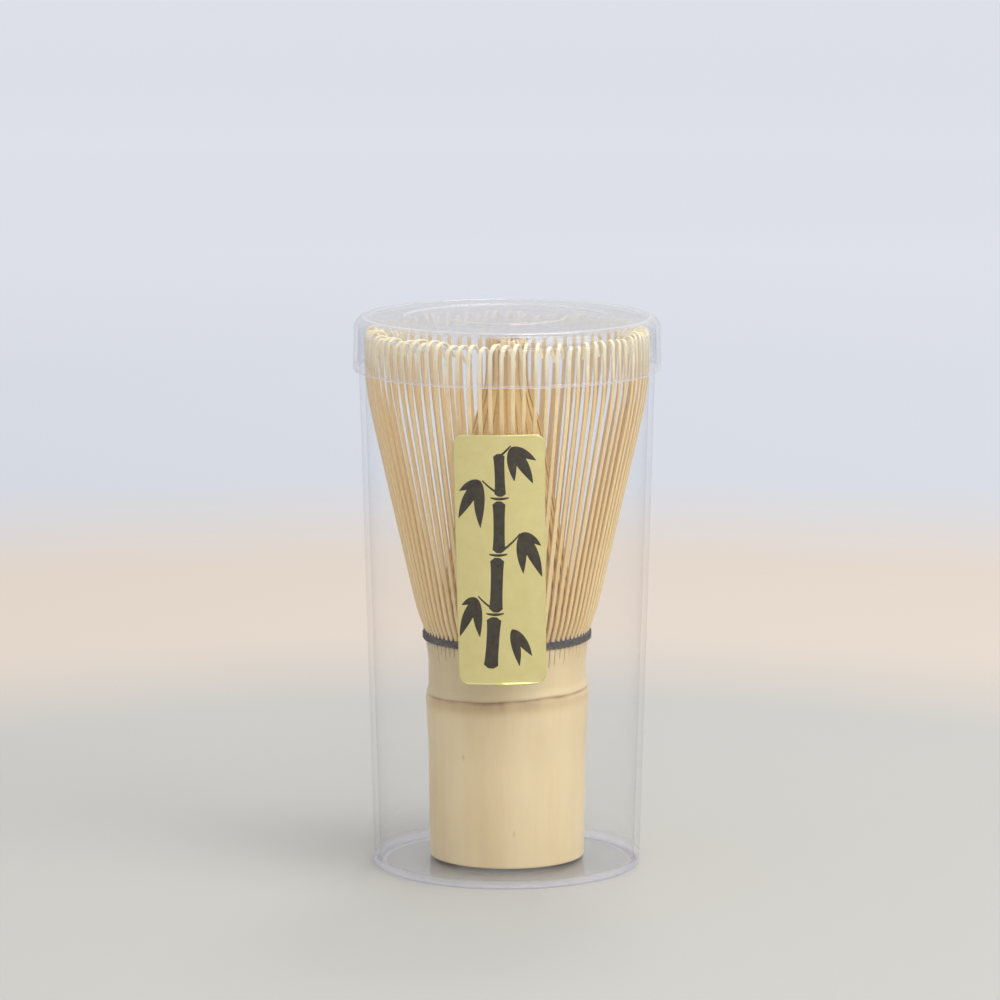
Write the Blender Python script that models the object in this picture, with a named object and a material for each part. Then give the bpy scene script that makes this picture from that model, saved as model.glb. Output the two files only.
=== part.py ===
"""A bamboo tea whisk standing in its clear storage case.

One length of bamboo is carved into a handle, an outer ring of tines with curled tips, and an inner
bundle of tines. A dark thread bound round their roots keeps ring and bundle apart. The whisk stands
on the floor of a tapered clear cup, under a slip-on lid, and the cup carries a foil label.

The tines are built in groups. Each group stands on a short arc of the split bamboo wall and turns
about the thread, so each is its own solid. Metres, +Z up, origin at the centre of the cup's
underside, label facing -Y.
"""

from math import cos, pi, radians, sin

import bmesh
import bpy
from mathutils import Matrix

MM = 0.001
GAP = 0.3 * MM                      # clearance between pieces that touch on the real object
MERGE_DISTANCE = 0.001 * MM
SEGMENTS = 48                       # facets round every turned piece
SHARP_ANGLE = radians(35.0)

# Clear cup: its wall leans outwards from the floor to the rim
CUP_BASE_RADIUS = 26.5 * MM
CUP_DRAFT = 0.0279                  # radius gained for each unit of height
CUP_HEIGHT = 107.0 * MM
CUP_WALL = 1.1 * MM
CUP_FLOOR = 1.2 * MM
CUP_BASE_ROUND = 0.4 * MM

# Clear lid, slipped over the cup's rim
LID_TOP = 110.0 * MM
LID_SKIRT_BOTTOM = 100.0 * MM
LID_SKIRT_RADIUS = 30.55 * MM
LID_SHOULDER_RADIUS = 30.3 * MM
LID_SHOULDER_ROUND = 1.6 * MM
LID_WALL = 0.8 * MM
LID_PLATE = 1.1 * MM
LID_RECESS_RADIUS = 20.2 * MM
LID_RECESS_DEPTH = 0.45 * MM
LID_CENTRE_RADIUS = 11.6 * MM
LID_CENTRE_DEPTH = 0.15 * MM
LID_STEP_WIDTH = 0.4 * MM

# Foil label, bent round the front of the cup
LABEL_WIDTH = 17.6 * MM
LABEL_BOTTOM = 41.0 * MM
LABEL_TOP = 90.3 * MM
LABEL_THICKNESS = 0.4 * MM
LABEL_CORNER = 2.0 * MM
LABEL_CORNER_STEPS = 3
LABEL_COLUMNS = 10
LABEL_AZIMUTH = radians(-92.6)      # a little to the left of the front

# Bamboo handle
HANDLE_BOTTOM = CUP_FLOOR + GAP
HANDLE_RADIUS = 15.45 * MM
HANDLE_EDGE = 0.35 * MM
HANDLE_BORE = 11.2 * MM
NODE_HEIGHT = 34.6 * MM
NODE_RADIUS = 16.1 * MM
NODE_GROOVE = 0.2 * MM
DIAPHRAGM_THICKNESS = 2.4 * MM
DIAPHRAGM_ROUND = 1.0 * MM
WAIST_RADIUS = 15.67 * MM
WAIST_HEIGHT = 38.5 * MM
COLLAR_TOP = 43.3 * MM
COLLAR_RADIUS = 16.3 * MM

# Binding thread, two turns lying on each other
THREAD_HEIGHT = 46.2 * MM
THREAD_TURNS = 2
THREAD_DIAMETER = 0.75 * MM
THREAD_INNER = 16.4 * MM
THREAD_ARC_STEPS = 3

# Tine roots: the split bamboo wall between the collar and the thread
ROOT_BOTTOM = COLLAR_TOP + GAP
ROOT_TOP = 45.0 * MM
HINGE_HEIGHT = THREAD_HEIGHT

OUTER_GROUPS = 16
OUTER_TINES = 5                     # tines in each outer group
OUTER_ROOT_RADIUS = 15.65 * MM
OUTER_ROOT_THICKNESS = 0.9 * MM
OUTER_ROOT_WIDTH = 0.85 * MM
OUTER_TIP_WIDTH = 0.45 * MM
OUTER_TIP_THICKNESS = 0.22 * MM
# Each leg: length, lean from upright at its start and end, steps. Leaning out is positive.
OUTER_LEGS = (
    (2.4 * MM, 0.0, 5.0, 1),
    (6.0 * MM, 20.0, 20.0, 1),
    (37.5 * MM, 12.7, 12.7, 1),
    (16.0 * MM, 12.7, -3.0, 2),
    (5.7 * MM, -3.0, -128.0, 3),
)

INNER_GROUPS = 8
INNER_TINES = 5                     # tines in each inner group
INNER_ROOT_RADIUS = 13.9 * MM
INNER_ROOT_THICKNESS = 1.0 * MM
INNER_ROOT_WIDTH = 0.95 * MM
INNER_TIP_WIDTH = 0.36 * MM
INNER_TIP_THICKNESS = 0.3 * MM
INNER_LEGS = (
    (2.4 * MM, 0.0, -5.0, 1),
    (40.0 * MM, -9.6, -9.6, 1),
    (11.0 * MM, -14.5, -6.0, 1),
    (8.0 * MM, 0.0, 0.0, 1),
)

# name: colour, roughness, metallic, alpha
FINISHES = {
    "clear_plastic": ((0.86, 0.88, 0.92), 0.08, 0.0, 0.25),
    "gold_foil": ((0.58, 0.50, 0.23), 0.32, 0.6, 1.0),
    "bamboo": ((0.68, 0.54, 0.32), 0.45, 0.0, 1.0),
    "bamboo_tine": ((0.66, 0.47, 0.25), 0.5, 0.0, 1.0),
    "cotton_thread": ((0.05, 0.05, 0.065), 0.9, 0.0, 1.0),
}


def clear_scene():
    for item in list(bpy.data.objects):
        bpy.data.objects.remove(item, do_unlink=True)


def finish_material(object_name, finish):
    """One Principled material for one piece."""
    colour, roughness, metallic, alpha = FINISHES[finish]
    material = bpy.data.materials.new(f"{finish}_{object_name}")
    material.use_nodes = True
    shader = material.node_tree.nodes["Principled BSDF"]
    shader.inputs["Base Color"].default_value = (*colour, 1.0)
    shader.inputs["Roughness"].default_value = roughness
    shader.inputs["Metallic"].default_value = metallic
    shader.inputs["Alpha"].default_value = alpha
    return material


def place(name, mesh, finish, parent=None, location=(0.0, 0.0, 0.0), turn=0.0):
    """Put a mesh in the scene as a named piece, with its material on the object."""
    piece = bpy.data.objects.new(name, mesh)
    bpy.context.scene.collection.objects.link(piece)
    if not mesh.materials:
        mesh.materials.append(None)
    piece.material_slots[0].link = "OBJECT"
    piece.material_slots[0].material = finish_material(name, finish)
    piece.location = location
    piece.rotation_euler = (0.0, 0.0, turn)
    piece.parent = parent
    return piece


def joint_empty(name, location=(0.0, 0.0, 0.0), turn=0.0, parent=None):
    empty = bpy.data.objects.new(name, None)
    empty.empty_display_size = 5.0 * MM
    bpy.context.scene.collection.objects.link(empty)
    empty.location = location
    empty.rotation_euler = (0.0, 0.0, turn)
    empty.parent = parent
    return empty


def finished_mesh(bm, name):
    bmesh.ops.remove_doubles(bm, verts=bm.verts, dist=MERGE_DISTANCE)
    bmesh.ops.recalc_face_normals(bm, faces=bm.faces)
    mesh = bpy.data.meshes.new(name)
    bm.to_mesh(mesh)
    bm.free()
    mesh.shade_smooth()
    mesh.set_sharp_from_angle(angle=SHARP_ANGLE)
    return mesh


def turned(name, outline, ring=False):
    """Turn (radius, height) points about Z. A ring's outline closes on itself."""
    bm = bmesh.new()
    points = [bm.verts.new((radius, 0.0, height)) for radius, height in outline]
    edges = [bm.edges.new(pair) for pair in zip(points, points[1:])]
    if ring:
        edges.append(bm.edges.new((points[-1], points[0])))
    bmesh.ops.spin(
        bm,
        geom=points + edges,
        axis=(0.0, 0.0, 1.0),
        cent=(0.0, 0.0, 0.0),
        angle=2.0 * pi,
        steps=SEGMENTS,
        use_merge=True,
    )
    return finished_mesh(bm, name)


def arc(centre, radius, start, end, steps):
    """Points on an arc in the (radius, height) plane, angles in degrees from +radius."""
    points = []
    for step in range(steps + 1):
        angle = radians(start + (end - start) * step / steps)
        points.append((centre[0] + radius * cos(angle), centre[1] + radius * sin(angle)))
    return points


def cup_radius(height):
    """Outer radius of the cup's wall at a height."""
    return CUP_BASE_RADIUS + CUP_DRAFT * height


def cup_outline():
    inner_floor = cup_radius(CUP_FLOOR) - CUP_WALL
    inner_rim = cup_radius(CUP_HEIGHT) - CUP_WALL
    return [
        (0.0, CUP_FLOOR),
        (inner_floor, CUP_FLOOR),
        (inner_rim, CUP_HEIGHT),
        (cup_radius(CUP_HEIGHT), CUP_HEIGHT),
        (cup_radius(CUP_BASE_ROUND), CUP_BASE_ROUND),
        (CUP_BASE_RADIUS - CUP_BASE_ROUND, 0.0),
        (0.0, 0.0),
    ]


def lid_outline():
    """Down the outside from the centre of the top, then back up the inside."""
    recess = LID_TOP - LID_RECESS_DEPTH
    centre = LID_TOP - LID_CENTRE_DEPTH
    underside = LID_TOP - LID_PLATE
    shoulder = (LID_SHOULDER_RADIUS - LID_SHOULDER_ROUND, LID_TOP - LID_SHOULDER_ROUND)
    inner_round = LID_SHOULDER_ROUND - LID_WALL
    return [
        (0.0, centre),
        (LID_CENTRE_RADIUS, centre),
        (LID_CENTRE_RADIUS + LID_STEP_WIDTH, recess),
        (LID_RECESS_RADIUS, recess),
        (LID_RECESS_RADIUS + LID_STEP_WIDTH, LID_TOP),
        *arc(shoulder, LID_SHOULDER_ROUND, 90.0, 0.0, 3),
        (LID_SKIRT_RADIUS, LID_SKIRT_BOTTOM),
        (LID_SKIRT_RADIUS - LID_WALL, LID_SKIRT_BOTTOM),
        (LID_SHOULDER_RADIUS - LID_WALL, underside - inner_round),
        (LID_SHOULDER_RADIUS - LID_WALL - inner_round, underside),
        (0.0, underside),
    ]


def handle_outline():
    """Down the outside from the top of the diaphragm, then up the hollow foot."""
    diaphragm_top = NODE_HEIGHT + DIAPHRAGM_THICKNESS / 2.0
    diaphragm_bottom = NODE_HEIGHT - DIAPHRAGM_THICKNESS / 2.0
    corner = HANDLE_BORE - DIAPHRAGM_ROUND
    return [
        (0.0, diaphragm_top),
        (corner, diaphragm_top),
        (HANDLE_BORE, diaphragm_top + DIAPHRAGM_ROUND),
        (HANDLE_BORE, COLLAR_TOP),
        (COLLAR_RADIUS, COLLAR_TOP),
        (WAIST_RADIUS + 0.1 * MM, COLLAR_TOP - 2.0 * MM),
        (WAIST_RADIUS, WAIST_HEIGHT),
        (WAIST_RADIUS + 0.1 * MM, NODE_HEIGHT + 1.2 * MM),
        (NODE_RADIUS - NODE_GROOVE, NODE_HEIGHT + 0.4 * MM),
        (NODE_RADIUS - NODE_GROOVE, NODE_HEIGHT),
        (NODE_RADIUS, NODE_HEIGHT - 0.5 * MM),
        (NODE_RADIUS - 0.2 * MM, NODE_HEIGHT - 4.5 * MM),
        (HANDLE_RADIUS + 0.15 * MM, NODE_HEIGHT - 10.0 * MM),
        (HANDLE_RADIUS, NODE_HEIGHT - 20.0 * MM),
        (HANDLE_RADIUS - 0.15 * MM, HANDLE_BOTTOM + HANDLE_EDGE),
        (HANDLE_RADIUS - 0.15 * MM - HANDLE_EDGE, HANDLE_BOTTOM),
        (HANDLE_BORE, HANDLE_BOTTOM),
        (HANDLE_BORE, diaphragm_bottom - DIAPHRAGM_ROUND),
        (corner, diaphragm_bottom),
        (0.0, diaphragm_bottom),
    ]


def thread_outline():
    """A flat inner wall with one round bulge for each turn of thread."""
    half = THREAD_DIAMETER / 2.0
    bottom = THREAD_HEIGHT - THREAD_TURNS * half
    points = [(THREAD_INNER, bottom + THREAD_TURNS * THREAD_DIAMETER)]
    for turn in reversed(range(THREAD_TURNS)):
        middle = bottom + (turn + 0.5) * THREAD_DIAMETER
        bulge = arc((THREAD_INNER + 0.25 * MM, middle), half, 90.0, -90.0, THREAD_ARC_STEPS)
        points.extend(bulge if turn == THREAD_TURNS - 1 else bulge[1:])
    points.append((THREAD_INNER, bottom))
    return points


def tine_sections(start_radius, start_height, legs, root, tip):
    """Sections along a tine's centre line: (radius, height, lean, width, thickness).

    root and tip are (width, thickness) pairs, and the tine tapers evenly between them.
    """
    total = sum(leg[0] for leg in legs)
    radius, height, travelled = start_radius, start_height, 0.0
    sections = []
    for length, lean_start, lean_end, steps in legs:
        for step in range(steps):
            chord = length / steps
            middle = radians(lean_start + (lean_end - lean_start) * (step + 0.5) / steps)
            radius += chord * sin(middle)
            height += chord * cos(middle)
            travelled += chord
            lean = radians(lean_start + (lean_end - lean_start) * (step + 1.0) / steps)
            part = travelled / total
            width = root[0] + (tip[0] - root[0]) * part
            thickness = root[1] + (tip[1] - root[1]) * part
            sections.append((radius, height, lean, width, thickness))
    return sections


def tine_group(name, root_radius, root_thickness, root_width, tines, groups, sections):
    """An arc of the split wall with its tines, centred on +X and measured from its hinge."""
    pitch = 2.0 * pi / (groups * tines)
    half_arc = pi / groups - GAP / 2.0 / root_radius
    half_tine = root_width / 2.0 / root_radius
    centres = [(index - (tines - 1) / 2.0) * pitch for index in range(tines)]
    angles = [-half_arc]
    for centre in centres:
        angles.extend((centre - half_tine, centre + half_tine))
    angles.append(half_arc)

    inner = root_radius - root_thickness / 2.0
    outer = root_radius + root_thickness / 2.0
    corners = ((inner, ROOT_BOTTOM), (outer, ROOT_BOTTOM), (outer, ROOT_TOP), (inner, ROOT_TOP))
    bm = bmesh.new()
    columns = []
    for angle in angles:
        columns.append([bm.verts.new((r * cos(angle), r * sin(angle), z)) for r, z in corners])
    bm.faces.new(columns[0])
    bm.faces.new(columns[-1])
    tops = []
    for left, right in zip(columns, columns[1:]):
        for side in range(4):
            after = (side + 1) % 4
            face = bm.faces.new((left[side], left[after], right[after], right[side]))
            if side == 2:
                tops.append(face)

    for centre, top in zip(centres, tops[1::2]):
        grow_tine(bm, top, centre, sections)
    shift = Matrix.Translation((-root_radius, 0.0, -HINGE_HEIGHT))
    bmesh.ops.transform(bm, matrix=shift, verts=bm.verts)
    return finished_mesh(bm, name)


def grow_tine(bm, face, angle, sections):
    """Extrude a root's top face through the sections of a tine at an angle round the axis.

    The face's corners run outer, inner on one side of the tine, then inner, outer on the other.
    """
    for radius, height, lean, width, thickness in sections:
        face = bmesh.ops.extrude_discrete_faces(bm, faces=[face])["faces"][0]
        depth_r = cos(lean) * thickness / 2.0
        depth_z = -sin(lean) * thickness / 2.0
        for vert, (side, depth) in zip(face.verts, ((-1, 1), (-1, -1), (1, -1), (1, 1))):
            r = radius + depth * depth_r
            across = side * width / 2.0
            vert.co.x = r * cos(angle) - across * sin(angle)
            vert.co.y = r * sin(angle) + across * cos(angle)
            vert.co.z = height + depth * depth_z


def label_mesh(name):
    """A thin sheet with round corners, bent round the leaning wall of the cup."""
    bm = bmesh.new()
    half_width = LABEL_WIDTH / 2.0
    middle = (LABEL_BOTTOM + LABEL_TOP) / 2.0
    bend_radius = cup_radius(middle)
    corner_x = half_width - LABEL_CORNER
    edge_columns = []
    for step in range(LABEL_CORNER_STEPS):
        angle = pi / 2.0 * step / LABEL_CORNER_STEPS
        edge_columns.append((corner_x + LABEL_CORNER * cos(angle), LABEL_CORNER * (1.0 - sin(angle))))
    flat = [corner_x * (1.0 - 2.0 * index / LABEL_COLUMNS) for index in range(LABEL_COLUMNS + 1)]
    columns = edge_columns + [(x, 0.0) for x in flat] + [(-x, cut) for x, cut in reversed(edge_columns)]

    rings = []
    for x, cut in columns:
        ring = []
        for height in (LABEL_BOTTOM + cut, LABEL_TOP - cut):
            for depth in (GAP, GAP + LABEL_THICKNESS):
                r = cup_radius(height) + depth
                angle = x / bend_radius
                ring.append(bm.verts.new((r * cos(angle), r * sin(angle), height)))
        low_in, low_out, high_in, high_out = ring
        rings.append((low_in, low_out, high_out, high_in))
    bm.faces.new(rings[0])
    bm.faces.new(rings[-1])
    for one, other in zip(rings, rings[1:]):
        for side in range(4):
            after = (side + 1) % 4
            bm.faces.new((one[side], one[after], other[after], other[side]))
    return finished_mesh(bm, name)


def build_case():
    place("case_cup", turned("case_cup", cup_outline()), "clear_plastic")
    place("foil_label", label_mesh("foil_label"), "gold_foil", turn=LABEL_AZIMUTH)


def build_whisk():
    """Handle, thread and tine groups, which lift out of the case together."""
    lift = joint_empty("whisk_lift")
    place("handle", turned("handle", handle_outline()), "bamboo", lift)
    thread = turned("binding_thread", thread_outline(), ring=True)
    place("binding_thread", thread, "cotton_thread", lift)

    outer_sections = tine_sections(
        OUTER_ROOT_RADIUS,
        ROOT_TOP,
        OUTER_LEGS,
        (OUTER_ROOT_WIDTH, OUTER_ROOT_THICKNESS),
        (OUTER_TIP_WIDTH, OUTER_TIP_THICKNESS),
    )
    inner_sections = tine_sections(
        INNER_ROOT_RADIUS,
        ROOT_TOP,
        INNER_LEGS,
        (INNER_ROOT_WIDTH, INNER_ROOT_THICKNESS),
        (INNER_TIP_WIDTH, INNER_TIP_THICKNESS),
    )
    outer_mesh = tine_group(
        "outer_tines",
        OUTER_ROOT_RADIUS,
        OUTER_ROOT_THICKNESS,
        OUTER_ROOT_WIDTH,
        OUTER_TINES,
        OUTER_GROUPS,
        outer_sections,
    )
    inner_mesh = tine_group(
        "inner_tines",
        INNER_ROOT_RADIUS,
        INNER_ROOT_THICKNESS,
        INNER_ROOT_WIDTH,
        INNER_TINES,
        INNER_GROUPS,
        inner_sections,
    )
    place_groups("outer", outer_mesh, OUTER_GROUPS, OUTER_ROOT_RADIUS, lift)
    place_groups("inner", inner_mesh, INNER_GROUPS, INNER_ROOT_RADIUS, lift)
    return lift


def place_groups(ring, mesh, groups, hinge_radius, parent):
    """Stand the tine groups round the axis, each with its origin on its hinge."""
    for index in range(groups):
        turn = (index + 0.5) * 2.0 * pi / groups
        location = (hinge_radius * cos(turn), hinge_radius * sin(turn), HINGE_HEIGHT)
        place(f"{ring}_tines_{index + 1:02d}", mesh, "bamboo_tine", parent, location, turn)


def build_lid(whisk_lift):
    lift = joint_empty("lid_lift", parent=whisk_lift)
    place("case_lid", turned("case_lid", lid_outline()), "clear_plastic", lift)


clear_scene()
build_case()
build_lid(build_whisk())
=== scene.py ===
"""The looks of a bamboo tea whisk in its clear case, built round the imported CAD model.

Every CAD node is stood for by a finer piece: the handle with its node ring and split collar, each
tine as a pared strip with a curled tip, the twisted binding thread, the clear moulded cup and lid,
and the foil label with a brushed-ink bamboo stalk. Metres, +Z up, label facing -Y.
"""

from math import cos, hypot, pi, radians, sin, sqrt, tau

import bmesh
import bpy
import numpy as np
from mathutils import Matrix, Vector


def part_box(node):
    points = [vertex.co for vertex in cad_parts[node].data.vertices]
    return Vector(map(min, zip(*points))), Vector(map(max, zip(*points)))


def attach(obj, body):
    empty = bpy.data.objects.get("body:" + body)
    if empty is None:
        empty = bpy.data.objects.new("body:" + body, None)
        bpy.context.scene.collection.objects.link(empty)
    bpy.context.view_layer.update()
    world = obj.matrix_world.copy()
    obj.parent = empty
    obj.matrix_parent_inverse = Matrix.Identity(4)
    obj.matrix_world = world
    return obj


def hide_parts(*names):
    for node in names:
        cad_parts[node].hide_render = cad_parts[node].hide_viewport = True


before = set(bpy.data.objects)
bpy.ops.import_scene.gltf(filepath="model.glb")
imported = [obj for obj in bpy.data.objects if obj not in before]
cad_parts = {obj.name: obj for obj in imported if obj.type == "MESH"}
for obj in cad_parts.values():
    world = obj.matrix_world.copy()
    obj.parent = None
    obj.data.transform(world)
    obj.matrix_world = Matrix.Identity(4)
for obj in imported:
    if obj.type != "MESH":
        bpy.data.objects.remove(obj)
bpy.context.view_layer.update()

MM = 0.001
SMOOTH_ANGLE = radians(38.0)
TINY = 1e-9  # keeps divisions away from zero
LATHE_COLUMNS = 256

_, cup_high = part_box("case_cup")
lid_low, lid_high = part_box("case_lid")
handle_low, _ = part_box("handle")
thread_low, thread_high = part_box("binding_thread")
label_low, label_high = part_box("foil_label")

# Clear cup
CUP_WALL = 1.1 * MM
CUP_FLOOR = handle_low.z - 0.3 * MM
CUP_RIM_HEIGHT = cup_high.z
CUP_RIM_RADIUS = cup_high.x
CUP_DRAFT = 0.0279  # radius gained for each unit of height
CUP_BASE_RADIUS = CUP_RIM_RADIUS - CUP_DRAFT * CUP_RIM_HEIGHT

# Clear lid
LID_FROST = 0.21  # how milky the plate is
LID_VEIL = 0.03  # and how milky the skirt is
LID_STEP = 0.5 * MM

# Tines
OUTER_GROUPS = 16
INNER_GROUPS = 8
TINES_IN_GROUP = 5
OUTER_TINES = OUTER_GROUPS * TINES_IN_GROUP
INNER_TINES = INNER_GROUPS * TINES_IN_GROUP
OUTER_ROOT_RADIUS = 15.65 * MM
INNER_ROOT_RADIUS = 13.9 * MM
TINE_ROOT_HEIGHT = 45.36 * MM
COLLAR_TOP = 45.3 * MM


# ---------------- mesh helpers


def placed(name, data):
    """A new object in the scene for a mesh, a light or a camera."""
    item = bpy.data.objects.new(name, data)
    bpy.context.scene.collection.objects.link(item)
    return item


def as_piece(name, mesh, body, replaced, material):
    """Put a finished mesh in the scene as a piece of the object."""
    piece = placed(name, mesh)
    mesh.materials.append(material)
    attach(piece, body)
    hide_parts(replaced)


def finished(bm, name):
    """A bmesh as a mesh, with its normals facing out, smooth but for its sharp edges."""
    bmesh.ops.recalc_face_normals(bm, faces=bm.faces)
    mesh = bpy.data.meshes.new(name)
    bm.to_mesh(mesh)
    bm.free()
    mesh.shade_smooth()
    mesh.set_sharp_from_angle(angle=SMOOTH_ANGLE)
    return mesh


def mesh_of(name, points, faces):
    """A mesh from point rows and faces."""
    mesh = bpy.data.meshes.new(name)
    mesh.from_pydata([tuple(p) for p in points], [], faces)
    bm = bmesh.new()
    bm.from_mesh(mesh)
    bpy.data.meshes.remove(mesh)
    return finished(bm, name)


def mark_points(mesh, name, values):
    """Give every point of a mesh a number that its material reads."""
    layer = mesh.attributes.new(name, "FLOAT", "POINT")
    layer.data.foreach_set("value", np.array(values, np.float32))


def tube_faces(rings, around, first):
    """Quads joining rings of points, with a cap on each end. first is the first point's number."""
    faces = []
    for ring in range(rings - 1):
        low = first + ring * around
        high = low + around
        for side in range(around):
            after = (side + 1) % around
            faces.append((low + side, low + after, high + after, high + side))
    faces.append(tuple(first + side for side in reversed(range(around))))
    last = first + (rings - 1) * around
    faces.append(tuple(last + side for side in range(around)))
    return faces


def lathe(name, outline):
    """Turn an outline about Z, from the axis back to the axis. A point is (radius, height), with a third
    number for the painted light at the plastic's edges and a fourth for its frost, which on the lid's
    shoulder is also a painted highlight."""
    bm = bmesh.new()
    layers = [bm.verts.layers.float.new(layer_name) for layer_name in ("painted_edge_light", "frost_and_highlight")]
    angles = [tau * column / LATHE_COLUMNS for column in range(LATHE_COLUMNS)]
    rings = []
    for radius, height, *looks in outline:
        if radius < TINY:
            ring = [bm.verts.new((0.0, 0.0, height))]
        else:
            ring = [bm.verts.new((radius * cos(a), radius * sin(a), height)) for a in angles]
        for vert in ring:
            for layer, value in zip(layers, looks):
                vert[layer] = value
        rings.append(ring)
    for one, other in zip(rings, rings[1:]):
        for column in range(LATHE_COLUMNS):
            after = (column + 1) % LATHE_COLUMNS
            if len(one) == 1:
                bm.faces.new((one[0], other[after], other[column]))
            elif len(other) == 1:
                bm.faces.new((one[column], one[after], other[0]))
            else:
                bm.faces.new((one[column], one[after], other[after], other[column]))
    return finished(bm, name)


def about_z(radius, angle, height):
    """Points about Z, one in each row, at arrays of angles and heights."""
    return np.stack([radius * np.cos(angle), radius * np.sin(angle), height], axis=1)


def arc(centre_r, centre_z, radius, start, end, steps):
    """Points on an arc in the (radius, height) plane, angles in degrees from outwards."""
    turn = np.radians(np.linspace(start, end, steps + 1))
    return [(centre_r + radius * cos(a), centre_z + radius * sin(a)) for a in turn]


def smooth(x, low, high):
    """0 below low, 1 above high, and an even S between them."""
    t = np.clip((np.asarray(x, float) - low) / (high - low), 0.0, 1.0)
    return t * t * (3.0 - 2.0 * t)


# ---------------- material helpers


class Nodes:
    """A short way to write a node material."""

    def __init__(self, name):
        self.material = bpy.data.materials.new(name)
        self.material.use_nodes = True
        self.tree = self.material.node_tree
        self.shader = self.tree.nodes["Principled BSDF"]
        self.output = self.tree.nodes["Material Output"]

    def add(self, kind, inputs=None, **settings):
        node = self.tree.nodes.new(kind)
        for key, value in settings.items():
            setattr(node, key, value)
        for key, value in (inputs or {}).items():
            self.set(node, key, value)
        return node

    def set(self, node, key, value):
        socket = node.inputs[key]
        if isinstance(value, bpy.types.NodeSocket):
            self.tree.links.new(value, socket)
        else:
            socket.default_value = value

    def principled(self, **values):
        for key, value in values.items():
            self.set(self.shader, key.replace("_", " "), value)

    def position(self, stretch=(1.0, 1.0, 1.0)):
        """The place on the piece, with each axis multiplied by stretch."""
        coordinates = self.add("ShaderNodeTexCoord").outputs["Object"]
        mapping = self.add("ShaderNodeMapping", {"Vector": coordinates, "Scale": stretch})
        return mapping.outputs["Vector"]

    def marked(self, name):
        """The number that the mesh's points carry under a name."""
        return self.add("ShaderNodeAttribute", attribute_name=name).outputs["Fac"]

    def noise(self, vector, scale, detail, roughness=0.55):
        inputs = {"Vector": vector, "Scale": scale, "Detail": detail, "Roughness": roughness}
        return self.add("ShaderNodeTexNoise", inputs).outputs["Fac"]

    def cells(self, vector, scale):
        """Distance to the nearest of many scattered points."""
        inputs = {"Vector": vector, "Scale": scale}
        return self.add("ShaderNodeTexVoronoi", inputs).outputs["Distance"]

    def ramp(self, value, stops):
        """A colour ramp from (place, colour) stops."""
        node = self.add("ShaderNodeValToRGB", {"Fac": value})
        elements = node.color_ramp.elements
        while len(elements) < len(stops):
            elements.new(0.5)
        for element, (place, colour) in zip(elements, stops):
            element.position = place
            element.color = (*colour, 1.0)
        return node.outputs["Color"]

    def spread(self, value, low, high, to_low=0.0, to_high=1.0):
        """Move low to to_low and high to to_high, evenly between them, and no further."""
        inputs = {"Value": value, "From Min": low, "From Max": high, "To Min": to_low, "To Max": to_high}
        return self.add("ShaderNodeMapRange", inputs).outputs["Result"]

    def math(self, operation, first, second):
        node = self.add("ShaderNodeMath", operation=operation)
        self.set(node, 0, first)
        self.set(node, 1, second)
        return node.outputs["Value"]

    def mix(self, amount, first, second):
        """A colour between two. The mix node's colour sockets are its numbers 6, 7 and 2."""
        node = self.add("ShaderNodeMix", data_type="RGBA")
        self.set(node, 0, amount)
        for index, value in ((6, first), (7, second)):
            if not isinstance(value, bpy.types.NodeSocket):
                value = (*value, 1.0)
            self.set(node, index, value)
        return node.outputs[2]

    def mix_shaders(self, amount, first, second):
        node = self.add("ShaderNodeMixShader", {0: amount, 1: first, 2: second})
        return node.outputs["Shader"]

    def bump(self, height, distance, strength):
        inputs = {"Height": height, "Distance": distance, "Strength": strength}
        node = self.add("ShaderNodeBump", inputs)
        return node.outputs["Normal"]


BAMBOO_GLOW = (1.0, 0.55, 0.25)  # how far red, green and blue spread under the skin


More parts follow.
